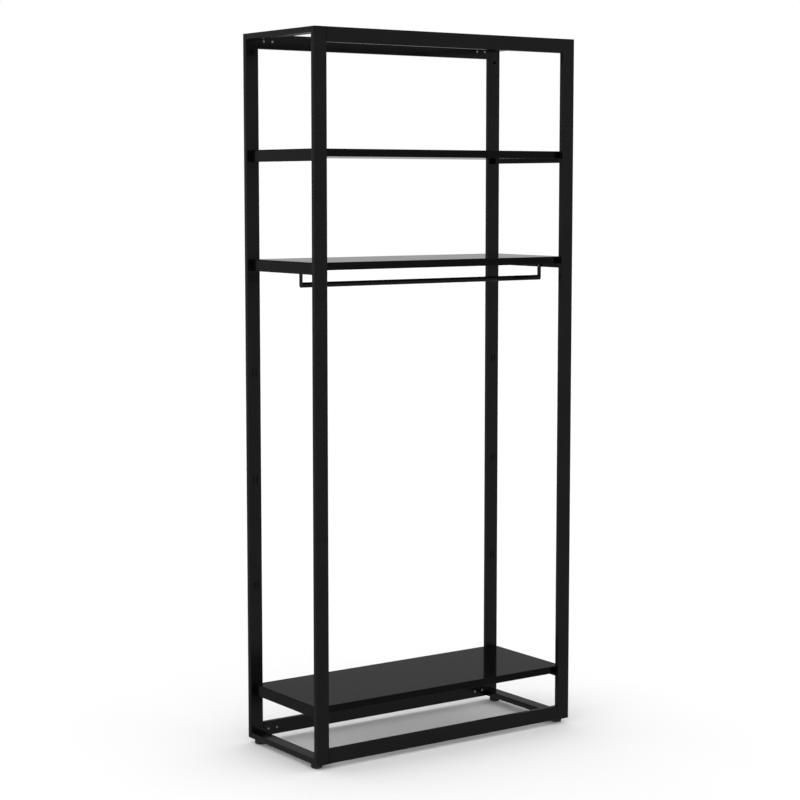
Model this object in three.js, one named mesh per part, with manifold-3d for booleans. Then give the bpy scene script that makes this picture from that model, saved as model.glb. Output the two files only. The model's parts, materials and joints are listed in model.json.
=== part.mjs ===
// Gondola shelving unit: a black powder-coated steel frame with three lift-off shelves,
// hook-in shelf brackets, a hang rail under the middle shelf and four levelling feet.
//
// Units are millimetres. X runs left to right across the width, -Y is the front, +Z is up.
// The origin is on the floor, in the middle of the footprint.

import * as THREE from 'three';
import { mergeVertices } from 'three/addons/utils/BufferGeometryUtils.js';
import Module from 'manifold-3d';

const wasm = await Module();
wasm.setup();

// ---------------------------------------------------------------- driving dimensions

const WIDTH = 1100;
const DEPTH = 450;
const FRAME_HEIGHT = 2465;
const FOOT_HEIGHT = 18;
const GAP = 0.3;                       // clearance between pieces that touch
const OVERRUN = 5;                     // how far a cutting shape runs past what it cuts
const SKIM = 1;                        // the same, where another wall is close behind
const SMALL_ROUND = 12;                // flats around a screw, hole or socket
const MEDIUM_ROUND = 16;               // flats around a bush, boss or stud
const LARGE_ROUND = 32;                // flats around the rail, its straps and the foot pads
const HEXAGON = 6;
const BEND_FLATS = 4;                  // flats across a quarter turn of a rolled or folded corner
const MERGE_DISTANCE = 1e-4;           // corners closer than this are one corner

const TUBE_WIDE = 50;                  // rectangular tube, wide face
const TUBE_NARROW = 20;                // rectangular tube, narrow face
const TUBE_WALL = 2;
const TUBE_CORNER = 2.5;               // outer radius of its rolled corners

const SLOT_PITCH = 375;                // height step between bracket positions
const SLOT_LEVELS = 6;
const SLOT_FIRST = 173.5;              // centre of the lowest slots above the frame's bottom
const SLOT_SPACING = 13;               // between the two slots of a pair
const SLOT_WIDTH = 3.6;
const SLOT_HEIGHT = 25;
const WALL_HOLE_RADIUS = 5.5;
const WALL_HOLE_BELOW_TOP = 62;

const BRACKET_HEIGHT = 39;
const BRACKET_SHEET = 2;
const BRACKET_FOLD = 2.5;              // outer radius of a fold
const HOOK_NECK = 15;                  // height of a hook where it passes the slot
const HOOK_DROP = 8;                   // how far it hangs down behind the wall
const HOOK_NOSE = 4;
const HOOK_SHOULDER = 9;               // height at which the nose starts to slope back
const HOOK_TIP = 1.6;                  // depth of the nose left at its top

const SHELF_SHEET = 1.5;
const SHELF_FOLD = 2;                  // outer radius of a fold
const SHELF_THICKNESS = 26;
const SHELF_FRONT = -202;
const DRAIN_RADIUS = 4;
const DRAIN_INSET = 30;
const SHELF_LEVELS = { bottom: 0, middle: 4, top: 5 };

const RAIL_RADIUS = 9;
const RAIL_WALL = 1.5;
const RAIL_Y = -81;
const RAIL_DROP = 38;                  // rail centre below the bracket's lower edge
const STRAP_SHEET = 3;
const STRAP_WIDTH = 18;
const STRAP_BOSS = 2.5;                // pressed boss that stands the strap off the bracket
const STRAP_BOSS_RADIUS = 5.5;
const STRAP_CLEARANCE = 1;             // between the strap's top and the shelf

const CONNECTOR_LENGTH = 75;
const CONNECTOR_WALL = 2.5;
const CONNECTOR_CORNER = 1.5;          // outer radius of its corners
const CONNECTOR_PLAY = 0.5;
const SCREW_INSETS = { outer: 21, inner: 56 };   // from the beam's end
const SCREW_HEAD_RADIUS = 4.6;
const SCREW_HEAD_HEIGHT = 2.4;
const SCREW_SHANK_RADIUS = 2.5;
const SCREW_HOLE_RADIUS = SCREW_SHANK_RADIUS + GAP;
const SCREW_REACH = 8;
const SCREW_SOCKET_RADIUS = 1.7;
const SCREW_SOCKET_DEPTH = 1.5;
const SCREW_TIP = 2;                   // how far a screw stands out of its nut
const NUT_RADIUS = 4.6;
const NUT_HEIGHT = 3;

const FOOT_INSET_X = 25;
const FOOT_INSET_Y = 41;
const PAD_RADIUS = 20;
const PAD_SOLE_RADIUS = 14;            // the flat that stands on the floor
const PAD_HEIGHT = 13;
const PAD_EDGE = 1;                    // chamfer around its top
const STUD_RADIUS = 5;
const STUD_TOP = 34;
const STUD_SEAT = 6;                   // height of the stud's ball end above the floor
const STUD_CHAMFER = 1;
const SPANNER_HEX_RADIUS = 9;          // fixed hexagon under the rail, to turn the stud
const SPANNER_HEX_HEIGHT = 3.5;
const BUSH_RADIUS = 9;
const BUSH_HEIGHT = 12;
const BUSH_RECESS = 0.5;               // how far the bush stays inside the rail's lower face

// ---------------------------------------------------------------- derived places

const HALF_WIDTH = WIDTH / 2;
const HALF_DEPTH = DEPTH / 2;
const FRAME_BOTTOM = FOOT_HEIGHT;
const FRAME_TOP = FOOT_HEIGHT + FRAME_HEIGHT;
const UPRIGHT_X = HALF_WIDTH - TUBE_WIDE / 2;
const UPRIGHT_Y = HALF_DEPTH - TUBE_NARROW / 2;
const BEAM_END = HALF_WIDTH - TUBE_WIDE - GAP;
const INNER_REAR = HALF_DEPTH - TUBE_NARROW;
const BRACKET_HALF = (SLOT_SPACING + BRACKET_SHEET) / 2;
const BRACKET_REAR = INNER_REAR - GAP;
const BRACKET_FRONT = SHELF_FRONT + SHELF_SHEET + GAP;
const [X, Y, Z] = [0, 1, 2];           // each axis by its place in a coordinate list
const SIDES = { left: -1, right: 1 };
const ENDS = { front: -1, rear: 1 };

const slotZ = (level) => FRAME_BOTTOM + SLOT_FIRST + SLOT_PITCH * level;
const bracketBottom = (level) => slotZ(level) - BRACKET_HEIGHT / 2;
const shelfTop = (level) => bracketBottom(level) + BRACKET_HEIGHT + GAP + SHELF_SHEET;
const strapScrewZ = (level) => shelfTop(level) - SHELF_THICKNESS - STRAP_WIDTH / 2 - STRAP_CLEARANCE;

// ---------------------------------------------------------------- materials

function finish(color, roughness, metalness) {
  return new THREE.MeshStandardMaterial({ color, roughness, metalness });
}
const blackSteel = () => finish(0x17171a, 0.42, 0.3);
const zinc = () => finish(0xc9ccd0, 0.3, 1);
const blackPlastic = () => finish(0x131313, 0.6, 0);

// ---------------------------------------------------------------- solid helpers

// A closed three.js geometry as a solid that can be joined or cut.
function solid(geometry) {
  const bare = geometry.index ? geometry.toNonIndexed() : geometry.clone();
  bare.deleteAttribute('normal');
  bare.deleteAttribute('uv');
  const merged = mergeVertices(bare, MERGE_DISTANCE);
  return new wasm.Manifold(new wasm.Mesh({
    numProp: 3,
    vertProperties: new Float32Array(merged.attributes.position.array),
    triVerts: new Uint32Array(merged.index.array),
  }));
}

// The surface of a solid, as a flat-shaded three.js geometry.
function surface(body) {
  const mesh = body.getMesh();
  const geometry = new THREE.BufferGeometry();
  geometry.setAttribute('position', new THREE.BufferAttribute(new Float32Array(mesh.vertProperties), 3));
  geometry.setIndex(new THREE.BufferAttribute(new Uint32Array(mesh.triVerts), 1));
  const flat = geometry.toNonIndexed();
  flat.computeVertexNormals();
  return flat;
}

// A box given by its lowest and highest corners.
function box(low, high) {
  const size = high.map((value, axis) => value - low[axis]);
  const centre = high.map((value, axis) => (value + low[axis]) / 2);
  return solid(new THREE.BoxGeometry(...size).translate(...centre));
}

// A round rod along X, Y or Z between two coordinates on that axis.
function rod(axis, radius, from, to, across, sides) {
  const geometry = new THREE.CylinderGeometry(radius, radius, to - from, sides);
  const middle = (from + to) / 2;
  if (axis === X) geometry.rotateZ(Math.PI / 2).translate(middle, across[0], across[1]);
  if (axis === Y) geometry.translate(across[0], middle, across[1]);
  if (axis === Z) geometry.rotateX(Math.PI / 2).translate(across[0], across[1], middle);
  return solid(geometry);
}

// A prism along X, Y or Z. Its outline is drawn in the two axes that follow: Y and Z for a prism
// along X, Z and X along Y, X and Y along Z.
function prism(axis, outline, from, to) {
  const shape = new THREE.Shape(outline.map(([u, v]) => new THREE.Vector2(u, v)));
  const geometry = new THREE.ExtrudeGeometry(shape, { depth: to - from, bevelEnabled: false });
  const unit = (which) => new THREE.Vector3().setComponent(which % 3, 1);
  const turn = new THREE.Matrix4().makeBasis(unit(axis + 1), unit(axis + 2), unit(axis));
  return solid(geometry.translate(0, 0, from).applyMatrix4(turn));
}

// An outline of square corners, each [u, v, radius]. A corner that has a radius becomes an arc.
function rounded(corners) {
  return corners.flatMap(([u, v, radius = 0], index) => {
    if (radius <= 0) return [[u, v]];
    const corner = new THREE.Vector2(u, v);
    const towards = (other) => new THREE.Vector2(other[0], other[1]).sub(corner).normalize();
    const back = towards(corners.at(index - 1));
    const ahead = towards(corners[(index + 1) % corners.length]);
    const centre = corner.clone().addScaledVector(back, radius).addScaledVector(ahead, radius);
    return Array.from({ length: BEND_FLATS + 1 }, (_, step) => {
      const angle = (step / BEND_FLATS) * (Math.PI / 2);
      return centre.clone()
        .addScaledVector(ahead, -radius * Math.cos(angle))
        .addScaledVector(back, -radius * Math.sin(angle))
        .toArray();
    });
  });
}

function roundRectangle(low, high, radius) {
  return rounded([
    [low[0], low[1], radius],
    [high[0], low[1], radius],
    [high[0], high[1], radius],
    [low[0], high[1], radius],
  ]);
}

// Two coordinates in rising order, for spans that are mirrored to the other side.
function rising(a, b) {
  return [Math.min(a, b), Math.max(a, b)];
}

function cut(body, ...tools) {
  return tools.reduce((rest, tool) => rest.subtract(tool), body);
}

function join(first, ...others) {
  return others.reduce((sum, other) => sum.add(other), first);
}

// A rectangular tube: an outer bar less an inner bar that runs out of both ends.
function boxTube(low, high, wall, corner, axis) {
  const section = (inset) => {
    const across = [(axis + 1) % 3, (axis + 2) % 3];
    return roundRectangle(
      across.map((each) => low[each] + inset),
      across.map((each) => high[each] - inset),
      corner - inset,
    );
  };
  const outer = prism(axis, section(0), low[axis], high[axis]);
  const inner = prism(axis, section(wall), low[axis] - OVERRUN, high[axis] + OVERRUN);
  return cut(outer, inner);
}

const group = new THREE.Group();

function place(name, body, material) {
  const mesh = new THREE.Mesh(surface(body), material);
  mesh.name = name;
  group.add(mesh);
}

// ---------------------------------------------------------------- side frames

// Uprights and side rails meet in 45 degree mitres, so each keeps only what lies on its own
// side of the diagonal through the corner. The mitre is a triangular prism across the tube.
function mitre(sx, end, isTop, keepsUpright) {
  const reach = TUBE_NARROW + OVERRUN;
  const y = end * HALF_DEPTH;
  const z = isTop ? FRAME_TOP : FRAME_BOTTOM;
  const inward = -end;
  const intoHeight = isTop ? -1 : 1;
  const corner = [y - inward * OVERRUN, z - intoHeight * OVERRUN];
  const diagonal = [y + inward * reach, z + intoHeight * reach];
  const third = keepsUpright
    ? [y + inward * reach, z - intoHeight * OVERRUN]
    : [y - inward * OVERRUN, z + intoHeight * reach];
  const shift = (keepsUpright ? -1 : 1) * GAP / Math.SQRT2 / 2;
  const push = [inward * shift, -intoHeight * shift];
  const outline = [corner, diagonal, third].map(([across, up]) => [across + push[0], up + push[1]]);
  const x = sx * UPRIGHT_X;
  const half = TUBE_WIDE / 2 + OVERRUN;
  return prism(X, outline, x - half, x + half);
}

function hookSlots(sx, level) {
  return [-0.5, 0.5].map((side) => {
    const x = sx * UPRIGHT_X + side * SLOT_SPACING;
    const z = slotZ(level);
    return box(
      [x - SLOT_WIDTH / 2, INNER_REAR - SKIM, z - SLOT_HEIGHT / 2],
      [x + SLOT_WIDTH / 2, INNER_REAR + TUBE_WALL + SKIM, z + SLOT_HEIGHT / 2],
    );
  });
}

function makeUpright(sx, end) {
  const x = sx * UPRIGHT_X;
  const y = end * UPRIGHT_Y;
  const low = [x - TUBE_WIDE / 2, y - TUBE_NARROW / 2, FRAME_BOTTOM];
  const high = [x + TUBE_WIDE / 2, y + TUBE_NARROW / 2, FRAME_TOP];
  const tube = boxTube(low, high, TUBE_WALL, TUBE_CORNER, Z);
  const cuts = [mitre(sx, end, true, true), mitre(sx, end, false, true)];
  if (end === ENDS.rear) {
    for (let level = 0; level < SLOT_LEVELS; level += 1) cuts.push(...hookSlots(sx, level));
    const hole = [x, FRAME_TOP - WALL_HOLE_BELOW_TOP];
    cuts.push(rod(Y, WALL_HOLE_RADIUS, INNER_REAR - SKIM, HALF_DEPTH + SKIM, hole, MEDIUM_ROUND));
  }
  return cut(tube, ...cuts);
}

function makeSideRail(sx, isTop) {
  const x = sx * UPRIGHT_X;
  const bottom = isTop ? FRAME_TOP - TUBE_NARROW : FRAME_BOTTOM;
  const low = [x - TUBE_WIDE / 2, -HALF_DEPTH, bottom];
  const high = [x + TUBE_WIDE / 2, HALF_DEPTH, bottom + TUBE_NARROW];
  let rail = boxTube(low, high, TUBE_WALL, TUBE_CORNER, Y);
  if (!isTop) {
    for (const end of Object.values(ENDS)) {
      const centre = [x, end * (HALF_DEPTH - FOOT_INSET_Y)];
      const bushTop = FRAME_BOTTOM + TUBE_WALL + BUSH_HEIGHT;
      const bush = rod(Z, BUSH_RADIUS, FRAME_BOTTOM + BUSH_RECESS, bushTop, centre, MEDIUM_ROUND);
      const bore = [FRAME_BOTTOM - SKIM, bushTop + SKIM];
      const thread = rod(Z, STUD_RADIUS + GAP, bore[0], bore[1], centre, MEDIUM_ROUND);
      rail = cut(join(rail, bush), thread);
    }
  }
  return cut(rail, ...Object.values(ENDS).map((end) => mitre(sx, end, isTop, false)));
}

for (const [endName, end] of Object.entries(ENDS)) {
  for (const [sideName, sx] of Object.entries(SIDES)) {
    place(`upright_${endName}_${sideName}`, makeUpright(sx, end), blackSteel());
  }
}
for (const heightName of ['top', 'bottom']) {
  for (const [sideName, sx] of Object.entries(SIDES)) {
    place(`side_rail_${heightName}_${sideName}`, makeSideRail(sx, heightName === 'top'), blackSteel());
  }
}

// ---------------------------------------------------------------- cross beams and their fixings

// The beams stand on edge between the side frames. A connector welded to the upright reaches
// into each end, and two screws in the beam's inner face hold it.
const beamBottom = (isTop) => (isTop ? FRAME_TOP - TUBE_WIDE : FRAME_BOTTOM);
const beamMiddle = (isTop) => beamBottom(isTop) + TUBE_WIDE / 2;
const innerFace = (end) => end * (HALF_DEPTH - TUBE_NARROW);

function screwHole(sx, end, isTop, inset) {
  const face = innerFace(end);
  const depth = TUBE_WALL + CONNECTOR_PLAY + CONNECTOR_WALL + SKIM;
  const ends = rising(face - end * SKIM, face + end * depth);
  const centre = [sx * (BEAM_END - inset), beamMiddle(isTop)];
  return rod(Y, SCREW_HOLE_RADIUS, ends[0], ends[1], centre, SMALL_ROUND);
}

function makeBeam(end, isTop) {
  const y = end * UPRIGHT_Y;
  const bottom = beamBottom(isTop);
  const low = [-BEAM_END, y - TUBE_NARROW / 2, bottom];
  const high = [BEAM_END, y + TUBE_NARROW / 2, bottom + TUBE_WIDE];
  const holes = Object.values(SIDES).flatMap((sx) => (
    Object.values(SCREW_INSETS).map((inset) => screwHole(sx, end, isTop, inset))));
  return cut(boxTube(low, high, TUBE_WALL, TUBE_CORNER, X), ...holes);
}

function makeConnector(sx, end, isTop) {
  const play = TUBE_WALL + CONNECTOR_PLAY;
  const y = end * UPRIGHT_Y;
  const bottom = beamBottom(isTop);
  const reach = rising(sx * BEAM_END, sx * (BEAM_END - CONNECTOR_LENGTH));
  const low = [reach[0], y - TUBE_NARROW / 2 + play, bottom + play];
  const high = [reach[1], y + TUBE_NARROW / 2 - play, bottom + TUBE_WIDE - play];
  const holes = Object.values(SCREW_INSETS).map((inset) => screwHole(sx, end, isTop, inset));
  return cut(boxTube(low, high, CONNECTOR_WALL, CONNECTOR_CORNER, X), ...holes);
}

// A button-head screw drawn on the Z axis with the underside of its head at the origin, head up.
function screwGeometry(reach) {
  const domeSteps = 3;
  const dome = Array.from({ length: domeSteps }, (_, step) => {
    const angle = ((step + 1) / (domeSteps + 1)) * (Math.PI / 2);
    return [SCREW_HEAD_RADIUS * Math.cos(angle), SCREW_HEAD_HEIGHT * Math.sin(angle)];
  });
  const profile = [
    [0, -reach],
    [SCREW_SHANK_RADIUS, -reach],
    [SCREW_SHANK_RADIUS, 0],
    [SCREW_HEAD_RADIUS, 0],
    ...dome,
    [0, SCREW_HEAD_HEIGHT],
  ];
  const turned = new THREE.LatheGeometry(profile.map(([r, h]) => new THREE.Vector2(r, h)), SMALL_ROUND);
  const [radius, depth] = [SCREW_SOCKET_RADIUS, SCREW_SOCKET_DEPTH];
  const socket = new THREE.CylinderGeometry(radius, radius, depth * 2, HEXAGON);
  socket.translate(0, SCREW_HEAD_HEIGHT, 0);
  return surface(cut(solid(turned), solid(socket))).rotateX(Math.PI / 2);
}

// Places a screw so that its head faces along the given direction.
function placeScrew(name, position, facing, reach) {
  const mesh = new THREE.Mesh(screwGeometry(reach), zinc());
  mesh.name = name;
  mesh.position.set(...position);
  mesh.quaternion.setFromUnitVectors(new THREE.Vector3(0, 0, 1), new THREE.Vector3(...facing));
  group.add(mesh);
}

for (const [endName, end] of Object.entries(ENDS)) {
  for (const heightName of ['top', 'bottom']) {
    const isTop = heightName === 'top';
    place(`beam_${endName}_${heightName}`, makeBeam(end, isTop), blackSteel());
    for (const [sideName, sx] of Object.entries(SIDES)) {
      const where = `${endName}_${heightName}_${sideName}`;
      place(`connector_${where}`, makeConnector(sx, end, isTop), zinc());
      for (const [placeName, inset] of Object.entries(SCREW_INSETS)) {
        const position = [sx * (BEAM_END - inset), innerFace(end) - end * GAP, beamMiddle(isTop)];
        placeScrew(`beam_screw_${where}_${placeName}`, position, [0, -end, 0], SCREW_REACH);
      }
    }
  }
}

// ---------------------------------------------------------------- shelf brackets

// A bracket is one folded sheet: an upside-down channel whose two walls end in hooks at the rear.
function hookOutline(level) {
  const seat = slotZ(level) - SLOT_HEIGHT / 2 + GAP;
  const wallBack = INNER_REAR + TUBE_WALL + GAP;
  return [
    [BRACKET_REAR - SKIM, seat],
    [wallBack, seat],
    [wallBack, seat - HOOK_DROP],
    [wallBack + HOOK_NOSE, seat - HOOK_DROP],
    [wallBack + HOOK_NOSE, seat + HOOK_SHOULDER],
    [wallBack + HOOK_TIP, seat + HOOK_NECK],
    [BRACKET_REAR - SKIM, seat + HOOK_NECK],
  ];
}

function makeBracket(sx, level, holdsRail) {
  const x = sx * UPRIGHT_X;
  const bottom = bracketBottom(level);
  const top = bottom + BRACKET_HEIGHT;
  const section = rounded([
    [bottom, x - BRACKET_HALF],
    [top, x - BRACKET_HALF, BRACKET_FOLD],
    [top, x + BRACKET_HALF, BRACKET_FOLD],
    [bottom, x + BRACKET_HALF],
  ]);
  const outer = prism(Y, section, BRACKET_FRONT, BRACKET_REAR);
  const inner = box(
    [x - BRACKET_HALF + BRACKET_SHEET, BRACKET_FRONT - OVERRUN, bottom - OVERRUN],
    [x + BRACKET_HALF - BRACKET_SHEET, BRACKET_REAR + OVERRUN, top - BRACKET_SHEET],
  );
  const hooks = [-0.5, 0.5].map((side) => {
    const middle = x + side * SLOT_SPACING;
    return prism(X, hookOutline(level), middle - BRACKET_SHEET / 2, middle + BRACKET_SHEET / 2);
  });
  const bracket = join(cut(outer, inner), ...hooks);
  if (!holdsRail) return bracket;
  const wall = rising(x - sx * (BRACKET_HALF + SKIM), x - sx * (BRACKET_HALF - BRACKET_SHEET - SKIM));
  const screw = [RAIL_Y, strapScrewZ(level)];
  return cut(bracket, rod(X, SCREW_HOLE_RADIUS, wall[0], wall[1], screw, SMALL_ROUND));
}

// ---------------------------------------------------------------- shelves

// A shelf is a closed sheet box. At each end its top sheet and front lip run on over the bracket
// it rests on.
function makeShelf(level) {
  const top = shelfTop(level);
  const bottom = top - SHELF_THICKNESS;
  const boxEnd = UPRIGHT_X - BRACKET_HALF - GAP;
  const sheetEnd = UPRIGHT_X + BRACKET_HALF;
  const sheetRear = INNER_REAR - GAP;
  const lipBack = SHELF_FRONT + SHELF_SHEET;
  const bodySection = roundRectangle([SHELF_FRONT, bottom], [sheetRear, top], SHELF_FOLD);
  const body = prism(X, bodySection, -boxEnd, boxEnd);
  const flangeSection = rounded([
    [SHELF_FRONT, bottom],
    [lipBack, bottom],
    [lipBack, top - SHELF_SHEET, SHELF_FOLD - SHELF_SHEET],
    [sheetRear, top - SHELF_SHEET],
    [sheetRear, top],
    [SHELF_FRONT, top, SHELF_FOLD],
  ]);
  const flanges = Object.values(SIDES).map((sx) => (
    prism(X, flangeSection, ...rising(sx * (boxEnd - SKIM), sx * sheetEnd))));
  const hollow = box(
    [-boxEnd + SHELF_SHEET, lipBack, bottom + SHELF_SHEET],
    [boxEnd - SHELF_SHEET, sheetRear - SHELF_SHEET, top - SHELF_SHEET],
  );
  const drains = Object.values(SIDES).map((sx) => {
    const centre = [sx * (boxEnd - DRAIN_INSET), sheetRear - DRAIN_INSET];
    return rod(Z, DRAIN_RADIUS, bottom - SKIM, bottom + SHELF_SHEET + SKIM, centre, SMALL_ROUND);
  });
  return cut(join(body, ...flanges), hollow, ...drains);
}

for (const [levelName, level] of Object.entries(SHELF_LEVELS)) {
  place(`shelf_${levelName}`, makeShelf(level), blackSteel());
  for (const [sideName, sx] of Object.entries(SIDES)) {
    const bracket = makeBracket(sx, level, levelName === 'middle');
    place(`bracket_${levelName}_${sideName}`, bracket, blackSteel());
  }
}

// ---------------------------------------------------------------- hang rail

const RAIL_LEVEL = SHELF_LEVELS.middle;
const RAIL_Z = bracketBottom(RAIL_LEVEL) - RAIL_DROP;
const STRAP_OUTER = UPRIGHT_X - BRACKET_HALF - GAP - STRAP_BOSS;
const STRAP_INNER = STRAP_OUTER - STRAP_SHEET;

// A flat strap with round ends, one on the rail's axis and one around its screw.
function makeStrap(sx) {
  const screwZ = strapScrewZ(RAIL_LEVEL);
  const half = STRAP_WIDTH / 2;
  const span = rising(sx * STRAP_INNER, sx * STRAP_OUTER);
  const bossSpan = rising(sx * (STRAP_OUTER - SKIM), sx * (STRAP_OUTER + STRAP_BOSS));
  const holeSpan = rising(sx * (STRAP_INNER - SKIM), sx * (STRAP_OUTER + STRAP_BOSS + SKIM));
  const flat = box([span[0], RAIL_Y - half, RAIL_Z], [span[1], RAIL_Y + half, screwZ]);
  const roundEnds = [RAIL_Z, screwZ].map((z) => (
    rod(X, half, span[0], span[1], [RAIL_Y, z], LARGE_ROUND)));
  const screw = [RAIL_Y, screwZ];
  const boss = rod(X, STRAP_BOSS_RADIUS, bossSpan[0], bossSpan[1], screw, MEDIUM_ROUND);
  const hole = rod(X, SCREW_HOLE_RADIUS, holeSpan[0], holeSpan[1], screw, SMALL_ROUND);
  return cut(join(flat, ...roundEnds, boss), hole);
}

function makeRail() {
  const end = STRAP_INNER - GAP;
  const reach = end + OVERRUN;
  const outer = rod(X, RAIL_RADIUS, -end, end, [RAIL_Y, RAIL_Z], LARGE_ROUND);
  const bore = rod(X, RAIL_RADIUS - RAIL_WALL, -reach, reach, [RAIL_Y, RAIL_Z], LARGE_ROUND);
  return cut(outer, bore);
}

// The nut of the strap's screw, inside the bracket's channel.
function makeNut(sx) {
  const near = UPRIGHT_X - BRACKET_HALF + BRACKET_SHEET + GAP;
  const [from, to] = rising(sx * near, sx * (near + NUT_HEIGHT));
  const screw = [RAIL_Y, strapScrewZ(RAIL_LEVEL)];
  const hexagon = rod(X, NUT_RADIUS, from, to, screw, HEXAGON);
  return cut(hexagon, rod(X, SCREW_HOLE_RADIUS, from - SKIM, to + SKIM, screw, SMALL_ROUND));
}

place('hang_rail', makeRail(), blackSteel());
for (const [sideName, sx] of Object.entries(SIDES)) {
  place(`hang_rail_strap_${sideName}`, makeStrap(sx), blackSteel());
  const position = [sx * (STRAP_INNER - GAP), RAIL_Y, strapScrewZ(RAIL_LEVEL)];
  const reach = STRAP_SHEET + STRAP_BOSS + BRACKET_SHEET + NUT_HEIGHT + SCREW_TIP;
  placeScrew(`hang_rail_screw_${sideName}`, position, [-sx, 0, 0], reach);
  place(`hang_rail_nut_${sideName}`, makeNut(sx), zinc());
}

// ---------------------------------------------------------------- levelling feet

// The pad is a round puck whose side curves in to the flat that stands on the floor, with a socket
// on top for the ball end of the stud.
function padGeometry() {
  const socket = STUD_RADIUS + GAP;
  const curve = PAD_RADIUS - PAD_SOLE_RADIUS;
  const side = Array.from({ length: BEND_FLATS + 1 }, (_, step) => {
    const angle = (step / BEND_FLATS) * (Math.PI / 2);
    return [PAD_SOLE_RADIUS + curve * Math.sin(angle), curve * (1 - Math.cos(angle))];
  });
  const profile = [
    [0, 0],
    ...side,
    [PAD_RADIUS, PAD_HEIGHT - PAD_EDGE],
    [PAD_RADIUS - PAD_EDGE, PAD_HEIGHT],
    [socket, PAD_HEIGHT],
    [socket, STUD_SEAT - GAP],
    [0, STUD_SEAT - GAP],
  ];
  const points = profile.map(([r, h]) => new THREE.Vector2(r, h));
  return new THREE.LatheGeometry(points, LARGE_ROUND).rotateX(Math.PI / 2);
}

// The stud turns in the rail's bush, with a fixed hexagon for a spanner just under the rail.
function studGeometry() {
  const hexTop = FOOT_HEIGHT - GAP;
  const shank = new THREE.LatheGeometry([
    [0, STUD_SEAT],
    [STUD_RADIUS - STUD_CHAMFER, STUD_SEAT],
    [STUD_RADIUS, STUD_SEAT + STUD_CHAMFER],
    [STUD_RADIUS, STUD_TOP - STUD_CHAMFER],
    [STUD_RADIUS - STUD_CHAMFER, STUD_TOP],
    [0, STUD_TOP],
  ].map(([r, h]) => new THREE.Vector2(r, h)), MEDIUM_ROUND);
  const [radius, height] = [SPANNER_HEX_RADIUS, SPANNER_HEX_HEIGHT];
  const hexagon = new THREE.CylinderGeometry(radius, radius, height, HEXAGON);
  hexagon.translate(0, hexTop - height / 2, 0);
  return surface(join(solid(shank), solid(hexagon))).rotateX(Math.PI / 2);
}

for (const [endName, end] of Object.entries(ENDS)) {
  for (const [sideName, sx] of Object.entries(SIDES)) {
    const x = sx * (HALF_WIDTH - FOOT_INSET_X);
    const y = end * (HALF_DEPTH - FOOT_INSET_Y);
    const pad = new THREE.Mesh(padGeometry(), blackPlastic());
    pad.name = `foot_pad_${endName}_${sideName}`;
    pad.position.set(x, y, 0);
    const stud = new THREE.Mesh(studGeometry(), zinc());
    stud.name = `foot_stud_${endName}_${sideName}`;
    stud.position.set(x, y, 0);
    group.add(pad, stud);
  }
}

export default group;
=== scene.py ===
"""Looks for the gondola shelving unit: finishes, edges, fixings, floor, light and camera.

Everything is in metres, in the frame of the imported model: +X right, -Y front, +Z up.
"""

import json
import math

import bmesh
import bpy
from mathutils import Matrix, Vector


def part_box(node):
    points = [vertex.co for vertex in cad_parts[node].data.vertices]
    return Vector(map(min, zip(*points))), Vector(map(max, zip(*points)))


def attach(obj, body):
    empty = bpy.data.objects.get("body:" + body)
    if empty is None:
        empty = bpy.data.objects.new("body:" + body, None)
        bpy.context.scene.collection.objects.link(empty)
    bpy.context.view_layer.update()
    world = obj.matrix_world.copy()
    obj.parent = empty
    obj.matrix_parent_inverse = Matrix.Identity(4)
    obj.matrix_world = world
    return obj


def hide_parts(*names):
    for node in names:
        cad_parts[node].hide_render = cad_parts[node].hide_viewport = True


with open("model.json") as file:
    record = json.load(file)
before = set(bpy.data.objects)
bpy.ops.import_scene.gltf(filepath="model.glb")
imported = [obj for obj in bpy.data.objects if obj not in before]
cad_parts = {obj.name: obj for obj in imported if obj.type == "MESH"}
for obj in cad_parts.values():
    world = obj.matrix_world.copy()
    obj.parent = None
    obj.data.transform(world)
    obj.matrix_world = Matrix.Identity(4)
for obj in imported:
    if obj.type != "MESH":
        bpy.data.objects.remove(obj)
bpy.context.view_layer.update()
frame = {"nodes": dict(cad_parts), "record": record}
NODES = frame["nodes"]

# ------------------------------------------------------------------ driving values

CAMERA_PLACE = (-4.156, -5.835, 1.967)
CAMERA_TILT = 83.951          # degrees from straight down
CAMERA_TURN = -35.135         # degrees from looking along +Y
CAMERA_LENS = 91.16           # mm, on a 36 mm sensor
SENSOR_WIDTH = 36.0

FLOOR_SIZE = 80.0
FLOOR_COLOUR = (0.8, 0.8, 0.8, 1.0)
SKY_SEEN = 1.0                # brightness of the backdrop itself
SKY_LIGHT_ZENITH = 0.7        # light cast from straight above
SKY_LIGHT_HORIZON = 2.53      # light cast from level with the floor
SKY_BACK = (0.575, 0.818, 0.0)  # level direction of the backdrop's middle
SKY_REFLECTED_FRONT = 0.25    # what reflections see, as in a dim studio
SKY_REFLECTED_SIDE = 0.2
SKY_REFLECTED_GLOW = 0.35     # added low on the backdrop
GLOW_HEIGHT = 0.16            # sine of the height where the glow ends
GLOW_EDGE = 0.3               # cosine of the angle from SKY_BACK where the glow ends sideways

NOISE_LOW = 0.3               # a noise's values lie mostly between these two
NOISE_HIGH = 0.7
BLOTCH_SCALE = 9.0            # noise scales, in cells a metre
PEEL_SCALE = 420.0
ZINC_CLOUD_SCALE = 350.0
ZINC_GRAIN_SCALE = 2600.0
PLASTIC_CLOUD_SCALE = 60.0
PLASTIC_GRAIN_SCALE = 1800.0
COAT_TINT = 1.06              # how much more blue than red and green
ZINC_TINT = 1.05

TUBE_EDGE = 0.0004            # rounding of cut and folded edges
SHEET_EDGE = 0.0006
FIXING_EDGE = 0.0002
WELD_DISTANCE = 0.00001
FLAT_ANGLE = 1.0              # degrees: triangles closer to flat than this are one face
SHARP_ANGLE = 35.0            # degrees: edges sharper than this are rounded
EDGE_SEGMENTS = 3

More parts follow.
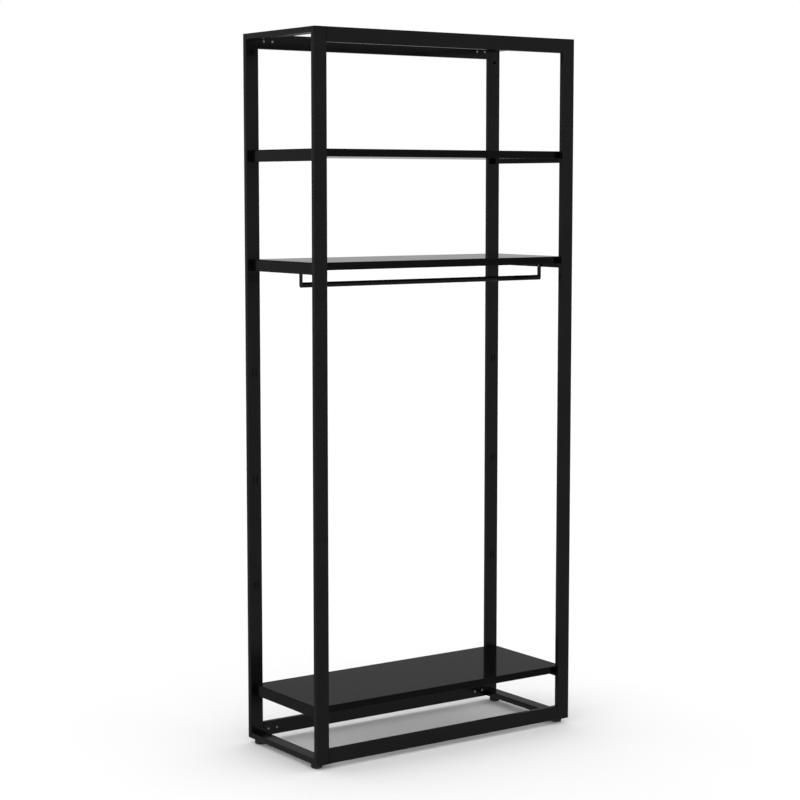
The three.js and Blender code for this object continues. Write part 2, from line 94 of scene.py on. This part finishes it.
ROUND_SIDES = 48
SCREW_HEAD_HEIGHT = 0.0024
SCREW_SHANK_RADIUS = 0.0025
SCREW_TOP_RADIUS = 0.0023     # flat on top of a button head
SCREW_RIM = 0.0003            # height of the head's upright rim, under its dome
SOCKET_RADIUS = 0.0017        # to the corners of the hexagon
SOCKET_DEPTH = 0.0015
DOME_STEPS = 6
THREAD_PITCH = 0.0015
THREAD_DEPTH = 0.0009
THREAD_STEPS = 8              # rings for each turn of thread
STUD_RADIUS = 0.005
STUD_HEXAGON_RADIUS = 0.009
STUD_HEXAGON_BOTTOM = 0.0142
STUD_HEXAGON_TOP = 0.0177
STUD_CHAMFER = 0.0008
TUBE_CORNER = 0.0025          # outer radius of the tube's corners
WELD_WIDTH = 0.0014
WELD_SINK = 0.00002           # how far a ground weld stays inside the tube's faces
WELD_FLATS = 6


# ------------------------------------------------------------------ camera, floor and light

def make_camera():
    data = bpy.data.cameras.new("camera")
    data.lens = CAMERA_LENS
    data.sensor_width = SENSOR_WIDTH
    camera = bpy.data.objects.new("camera", data)
    camera.location = CAMERA_PLACE
    camera.rotation_euler = (math.radians(CAMERA_TILT), 0.0, math.radians(CAMERA_TURN))
    bpy.context.scene.collection.objects.link(camera)
    bpy.context.scene.camera = camera


def make_floor():
    bpy.ops.mesh.primitive_plane_add(size=FLOOR_SIZE)
    floor = bpy.context.object
    floor.name = "floor"
    material = bpy.data.materials.new("floor_paper")
    material.use_nodes = True
    shader = material.node_tree.nodes["Principled BSDF"]
    shader.inputs["Base Color"].default_value = FLOOR_COLOUR
    shader.inputs["Roughness"].default_value = 1.0
    shader.inputs["Specular IOR Level"].default_value = 0.0
    floor.data.materials.append(material)
    floor.visible_glossy = False


def maths(tree, operation, first, second=0.0):
    """One arithmetic node. Each side is a number or another node's output."""
    node = tree.nodes.new("ShaderNodeMath")
    node.operation = operation
    for socket, value in zip(node.inputs, (first, second)):
        if isinstance(value, float):
            socket.default_value = value
        else:
            tree.links.new(value, socket)
    return node.outputs["Value"]


def span(tree, source, start, end, low, high):
    """Maps start..end onto low..high, and holds the ends."""
    node = tree.nodes.new("ShaderNodeMapRange")
    node.inputs["From Min"].default_value = start
    node.inputs["From Max"].default_value = end
    node.inputs["To Min"].default_value = low
    node.inputs["To Max"].default_value = high
    tree.links.new(source, node.inputs["Value"])
    return node.outputs["Result"]


def choose(tree, when, otherwise, chosen):
    """The output called otherwise, or the one called chosen where when is 1."""
    mix = tree.nodes.new("ShaderNodeMix")
    tree.links.new(when, mix.inputs["Factor"])
    tree.links.new(otherwise, mix.inputs["A"])
    if isinstance(chosen, float):
        mix.inputs["B"].default_value = chosen
    else:
        tree.links.new(chosen, mix.inputs["B"])
    return mix.outputs["Result"]


def make_sky():
    """A light tent that is brightest near the floor. Reflections see it dimmer than it is."""
    world = bpy.data.worlds.new("studio")
    bpy.context.scene.world = world
    world.use_nodes = True
    tree = world.node_tree
    background = tree.nodes["Background"]
    background.inputs["Color"].default_value = (1.0, 1.0, 1.0, 1.0)
    path = tree.nodes.new("ShaderNodeLightPath")
    direction = tree.nodes.new("ShaderNodeTexCoord").outputs["Generated"]
    parts = tree.nodes.new("ShaderNodeSeparateXYZ")
    tree.links.new(direction, parts.inputs["Vector"])
    height = maths(tree, "ABSOLUTE", parts.outputs["Z"])
    towards_back = tree.nodes.new("ShaderNodeVectorMath")
    towards_back.operation = "DOT_PRODUCT"
    towards_back.inputs[1].default_value = SKY_BACK
    tree.links.new(direction, towards_back.inputs[0])
    backward = towards_back.outputs["Value"]

    cast = span(tree, height, 0.0, 1.0, SKY_LIGHT_HORIZON, SKY_LIGHT_ZENITH)
    around = span(tree, backward, -1.0, 0.0, SKY_REFLECTED_FRONT, SKY_REFLECTED_SIDE)
    low_down = span(tree, height, 0.0, GLOW_HEIGHT, SKY_REFLECTED_GLOW, 0.0)
    behind = span(tree, backward, GLOW_EDGE, 1.0, 0.0, 1.0)
    glow = maths(tree, "MULTIPLY", low_down, behind)
    reflected = maths(tree, "ADD", around, glow)
    unseen = choose(tree, path.outputs["Is Glossy Ray"], cast, reflected)
    strength = choose(tree, path.outputs["Is Camera Ray"], unseen, SKY_SEEN)
    tree.links.new(strength, background.inputs["Strength"])


# ------------------------------------------------------------------ materials

def new_material(name):
    material = bpy.data.materials.new(name)
    material.use_nodes = True
    tree = material.node_tree
    place = tree.nodes.new("ShaderNodeTexCoord")
    return material, tree, tree.nodes["Principled BSDF"], place.outputs["Object"]


def add_noise(tree, place, scale, detail):
    noise = tree.nodes.new("ShaderNodeTexNoise")
    noise.inputs["Scale"].default_value = scale
    noise.inputs["Detail"].default_value = detail
    tree.links.new(place, noise.inputs["Vector"])
    return noise.outputs["Fac"]


def vary(tree, source, socket, low, high):
    """Drives a shader number between low and high by a noise."""
    tree.links.new(span(tree, source, NOISE_LOW, NOISE_HIGH, low, high), socket)


def vary_grey(tree, source, socket, dark, light, tint=1.0):
    """Drives a shader colour between two greys by a noise. A tint above 1 adds blue."""
    ramp = tree.nodes.new("ShaderNodeValToRGB")
    first, last = ramp.color_ramp.elements
    first.position = NOISE_LOW
    first.color = (dark, dark, dark * tint, 1.0)
    last.position = NOISE_HIGH
    last.color = (light, light, light * tint, 1.0)
    tree.links.new(source, ramp.inputs["Fac"])
    tree.links.new(ramp.outputs["Color"], socket)


def add_bump(tree, shader, height, distance):
    bump = tree.nodes.new("ShaderNodeBump")
    bump.inputs["Strength"].default_value = 1.0
    bump.inputs["Distance"].default_value = distance
    tree.links.new(height, bump.inputs["Height"])
    tree.links.new(bump.outputs["Normal"], shader.inputs["Normal"])


def black_coat(name, ior, greys, roughness, peel_depth):
    """Glossy black powder coat, with the faint waviness of orange peel."""
    material, tree, shader, place = new_material(name)
    shader.inputs["IOR"].default_value = ior
    broad = add_noise(tree, place, BLOTCH_SCALE, 2.0)
    peel = add_noise(tree, place, PEEL_SCALE, 2.0)
    vary_grey(tree, broad, shader.inputs["Base Color"], *greys, COAT_TINT)
    vary(tree, broad, shader.inputs["Roughness"], *roughness)
    add_bump(tree, shader, peel, peel_depth)
    return material


def powder_coat():
    """The coat as it lies on the tubes."""
    return black_coat("powder_coat", 1.5, (0.0011, 0.0019), (0.15, 0.2), 0.00001)


def bracket_painted_shade_coat():
    """The tube coat made darker and less reflective: painted shade on the bracket walls, which wear
    the same coat as the tubes.
    """
    return black_coat("bracket_painted_shade_coat", 1.4, (0.0008, 0.0014), (0.15, 0.2), 0.00001)


def shelf_coat():
    """Smoother and darker, on the flat shelf sheets."""
    return black_coat("shelf_coat", 1.34, (0.0006, 0.001), (0.08, 0.1), 0.000005)


def zinc_plate():
    """Bright zinc plating with a fine cloudy grain."""
    material, tree, shader, place = new_material("zinc_plate")
    shader.inputs["Metallic"].default_value = 1.0
    cloud = add_noise(tree, place, ZINC_CLOUD_SCALE, 4.0)
    grain = add_noise(tree, place, ZINC_GRAIN_SCALE, 2.0)
    vary_grey(tree, cloud, shader.inputs["Base Color"], 0.52, 0.72, ZINC_TINT)
    vary(tree, cloud, shader.inputs["Roughness"], 0.24, 0.42)
    add_bump(tree, shader, grain, 0.000004)
    return material


def foot_plastic():
    """Moulded black plastic with a fine matt grain."""
    material, tree, shader, place = new_material("foot_plastic")
    shader.inputs["IOR"].default_value = 1.49
    cloud = add_noise(tree, place, PLASTIC_CLOUD_SCALE, 3.0)
    grain = add_noise(tree, place, PLASTIC_GRAIN_SCALE, 2.0)
    vary_grey(tree, cloud, shader.inputs["Base Color"], 0.008, 0.013)
    vary(tree, cloud, shader.inputs["Roughness"], 0.42, 0.55)
    add_bump(tree, shader, grain, 0.00002)
    return material


# ------------------------------------------------------------------ edges

def smoothing_nodes():
    """A node group that shades faces smooth and keeps edges above SHARP_ANGLE sharp."""
    tree = bpy.data.node_groups.new("smooth_by_angle", "GeometryNodeTree")
    tree.interface.new_socket("Geometry", in_out="INPUT", socket_type="NodeSocketGeometry")
    tree.interface.new_socket("Geometry", in_out="OUTPUT", socket_type="NodeSocketGeometry")
    entry = tree.nodes.new("NodeGroupInput")
    leave = tree.nodes.new("NodeGroupOutput")
    faces = tree.nodes.new("GeometryNodeSetShadeSmooth")
    edges = tree.nodes.new("GeometryNodeSetShadeSmooth")
    edges.domain = "EDGE"
    edges.inputs["Shade Smooth"].default_value = False
    angle = tree.nodes.new("GeometryNodeInputMeshEdgeAngle")
    sharp = tree.nodes.new("FunctionNodeCompare")
    sharp.inputs["B"].default_value = math.radians(SHARP_ANGLE)
    tree.links.new(entry.outputs[0], faces.inputs["Geometry"])
    tree.links.new(faces.outputs["Geometry"], edges.inputs["Geometry"])
    tree.links.new(angle.outputs["Unsigned Angle"], sharp.inputs["A"])
    tree.links.new(sharp.outputs["Result"], edges.inputs["Selection"])
    tree.links.new(edges.outputs["Geometry"], leave.inputs[0])
    return tree


SMOOTHING = smoothing_nodes()


def shade(piece):
    """Shades a piece smooth across its flats, and sharp at its corners."""
    smooth = piece.modifiers.new("smooth", "NODES")
    smooth.node_group = SMOOTHING


def soften(piece, radius):
    """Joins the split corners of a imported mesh, rounds its sharp edges and shades it smooth."""
    weld = piece.modifiers.new("weld", "WELD")
    weld.merge_threshold = WELD_DISTANCE
    flat = piece.modifiers.new("flat_faces", "DECIMATE")
    flat.decimate_type = "DISSOLVE"
    flat.angle_limit = math.radians(FLAT_ANGLE)
    bevel = piece.modifiers.new("edges", "BEVEL")
    bevel.width = radius
    bevel.segments = EDGE_SEGMENTS
    bevel.limit_method = "ANGLE"
    bevel.angle_limit = math.radians(SHARP_ANGLE)
    shade(piece)
    normals = piece.modifiers.new("normals", "WEIGHTED_NORMAL")
    normals.keep_sharp = True


# The first entry that a node's name starts with is used, so a longer name comes before a shorter.
EDGES = {
    "upright": TUBE_EDGE,
    "side_rail": TUBE_EDGE,
    "beam_screw": FIXING_EDGE,
    "beam": TUBE_EDGE,
    "connector": TUBE_EDGE,
    "shelf": SHEET_EDGE,
    "bracket": SHEET_EDGE,
    "hang_rail_screw": FIXING_EDGE,
    "hang_rail_nut": FIXING_EDGE,
    "hang_rail": TUBE_EDGE,
    "foot": FIXING_EDGE,
}
SLOTS = {row["node"]: row["material_slot"] for row in frame["record"]["subparts"]}
FINISHES = {
    "powder_coated_steel": powder_coat(),
    "zinc_plated_steel": zinc_plate(),
    "foot_plastic": foot_plastic(),
}


def dress_frame():
    """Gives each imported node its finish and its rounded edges."""
    # The brackets get the darker copy of the tube coat, as painted shade on their walls.
    sheet_finishes = {"shelf": shelf_coat(), "bracket": bracket_painted_shade_coat()}
    for name, piece in NODES.items():
        kind = name.split("_")[0]
        piece.data.materials.clear()
        piece.data.materials.append(sheet_finishes.get(kind, FINISHES[SLOTS[name]]))
        prefix = next(key for key in EDGES if name.startswith(key))
        soften(piece, EDGES[prefix])


# ------------------------------------------------------------------ detail pieces

def circle(radius):
    """The radius of a round ring in each direction."""
    return lambda angle: radius


def hexagon(corner_radius):
    """The radius of a six-sided ring in each direction."""
    sixth = math.pi / 3.0
    flat = corner_radius * math.cos(sixth / 2.0)
    return lambda angle: flat / math.cos((angle + sixth / 2.0) % sixth - sixth / 2.0)


def thread(radius, height):
    """The radius of a right-handed thread at one height, in each direction."""
    def at(angle):
        turn = (height / THREAD_PITCH - angle / (2.0 * math.pi)) % 1.0
        return radius - THREAD_DEPTH * abs(2.0 * turn - 1.0)
    return at


def layered_mesh(name, layers):
    """A closed shape skinned over layers of points, with a flat face at each end."""
    shape = bmesh.new()
    loops = [[shape.verts.new(point) for point in layer] for layer in layers]
    for below, above in zip(loops, loops[1:]):
        for index in range(len(below)):
            after = (index + 1) % len(below)
            shape.faces.new((below[index], below[after], above[after], above[index]))
    shape.faces.new(reversed(loops[0]))
    shape.faces.new(loops[-1])
    bmesh.ops.recalc_face_normals(shape, faces=shape.faces)
    mesh = bpy.data.meshes.new(name)
    shape.to_mesh(mesh)
    shape.free()
    return mesh


def turned_mesh(name, rings):
    """A closed shape around Z, from rings that are each a height and a radius in each direction."""
    layers = []
    for height, radius_at in rings:
        layer = []
        for side in range(ROUND_SIDES):
            angle = 2.0 * math.pi * side / ROUND_SIDES
            radius = radius_at(angle)
            layer.append((radius * math.cos(angle), radius * math.sin(angle), height))
        layers.append(layer)
    return layered_mesh(name, layers)


def add_piece(name, mesh, body, slot):
    """Puts a finished mesh, drawn in the row frame, on a body."""
    piece = bpy.data.objects.new(name, mesh)
    bpy.context.scene.collection.objects.link(piece)
    mesh.materials.append(FINISHES[slot])
    shade(piece)
    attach(piece, body)
    return piece


def screw_rings(radius, height, shank, reach):
    """A button-head screw with a hexagon socket. The underside of its head is at height 0."""
    dome = []
    for step in range(DOME_STEPS + 1):
        angle = (math.pi / 2.0) * step / DOME_STEPS
        across = SCREW_TOP_RADIUS + (radius - SCREW_TOP_RADIUS) * math.cos(angle)
        dome.append((SCREW_RIM + (height - SCREW_RIM) * math.sin(angle), circle(across)))
    socket = hexagon(SOCKET_RADIUS)
    return [
        (-reach, circle(shank)),
        (0.0, circle(shank)),
        (0.0, circle(radius)),
        *dome,
        (height, socket),
        (height - SOCKET_DEPTH, socket),
    ]


def detail_screw(node, body, facing):
    """Replaces a packed screw by a finely turned one in the same place."""
    low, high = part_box(node)
    size = high - low
    length = abs(size.dot(facing))
    reach = length - SCREW_HEAD_HEIGHT
    seat = (low + high) / 2.0 + facing * (length / 2.0 - SCREW_HEAD_HEIGHT)
    rings = screw_rings(min(size) / 2.0, SCREW_HEAD_HEIGHT, SCREW_SHANK_RADIUS, reach)
    mesh = turned_mesh(node + "_fine", rings)
    turn = Vector((0.0, 0.0, 1.0)).rotation_difference(facing).to_matrix().to_4x4()
    mesh.transform(Matrix.Translation(seat) @ turn)
    piece = add_piece(node + "_fine", mesh, body, SLOTS[node])
    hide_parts(node)


def detail_screws():
    for node in NODES:
        low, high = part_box(node)
        middle = (low + high) / 2.0
        if node.startswith("beam_screw"):
            detail_screw(node, "frame", Vector((0.0, math.copysign(1.0, -middle.y), 0.0)))
        if node.startswith("hang_rail_screw"):
            detail_screw(node, "brackets_middle", Vector((math.copysign(1.0, -middle.x), 0.0, 0.0)))


def stud_rings(bottom, top):
    """A levelling stud: plain below its fixed hexagon and threaded above it."""
    nut = hexagon(STUD_HEXAGON_RADIUS)
    root = STUD_RADIUS - THREAD_DEPTH
    rings = [
        (bottom, circle(STUD_RADIUS - STUD_CHAMFER)),
        (bottom + STUD_CHAMFER, circle(STUD_RADIUS)),
        (STUD_HEXAGON_BOTTOM, circle(STUD_RADIUS)),
        (STUD_HEXAGON_BOTTOM, nut),
        (STUD_HEXAGON_TOP, nut),
        (STUD_HEXAGON_TOP, circle(root)),
    ]
    step = THREAD_PITCH / THREAD_STEPS
    count = int((top - STUD_CHAMFER - STUD_HEXAGON_TOP) / step)
    for index in range(1, count + 1):
        height = STUD_HEXAGON_TOP + index * step
        rings.append((height, thread(STUD_RADIUS, height)))
    rings.append((top, circle(root)))
    return rings


def detail_studs():
    for node in NODES:
        if not node.startswith("foot_stud"):
            continue
        low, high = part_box(node)
        mesh = turned_mesh(node + "_fine", stud_rings(low.z, high.z))
        mesh.transform(Matrix.Translation(((low.x + high.x) / 2.0, (low.y + high.y) / 2.0, 0.0)))
        body = node.replace("foot_", "", 1)
        piece = add_piece(node + "_fine", mesh, body, SLOTS[node])
        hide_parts(node)


def weld_outline(low, high, radius):
    """A rectangle in X and Y with rounded corners, as points in order."""
    points = []
    corners = [(high.x, high.y, 0), (low.x, high.y, 1), (low.x, low.y, 2), (high.x, low.y, 3)]
    for x, y, quarter in corners:
        centre_x = x - math.copysign(radius, x - (low.x + high.x) / 2.0)
        centre_y = y - math.copysign(radius, y - (low.y + high.y) / 2.0)
        for step in range(WELD_FLATS + 1):
            angle = (quarter + step / WELD_FLATS) * math.pi / 2.0
            points.append((centre_x + radius * math.cos(angle), centre_y + radius * math.sin(angle)))
    return points


def weld_mesh(name, low, high, is_top):
    """A thin slab on the 45 degree plane of a mitre, just inside the faces of the tube."""
    sink = Vector((WELD_SINK, WELD_SINK, WELD_SINK))
    low, high = low + sink, high - sink
    outer = high.y if low.y + high.y > 0.0 else low.y
    end, into = (high.z, -1.0) if is_top else (low.z, 1.0)
    layers = []
    for side in (-1.0, 1.0):
        layer = []
        for x, y in weld_outline(low, high, TUBE_CORNER):
            height = end + into * abs(outer - y) + side * WELD_WIDTH / math.sqrt(2.0)
            layer.append((x, y, min(max(height, low.z), high.z)))
        layers.append(layer)
    return layered_mesh(name, layers)


def detail_welds():
    """Fills the mitre between each upright and its side rails with a weld ground flush."""
    for node in NODES:
        if not node.startswith("upright"):
            continue
        low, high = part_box(node)
        for end_name in ("top", "bottom"):
            name = node.replace("upright", "weld_" + end_name, 1)
            mesh = weld_mesh(name, low, high, end_name == "top")
            add_piece(name, mesh, "frame", "powder_coated_steel")


# ------------------------------------------------------------------ the scene

make_camera()
make_floor()
make_sky()
dress_frame()
detail_screws()
detail_studs()
detail_welds()

bpy.context.scene.view_settings.view_transform = "Standard"
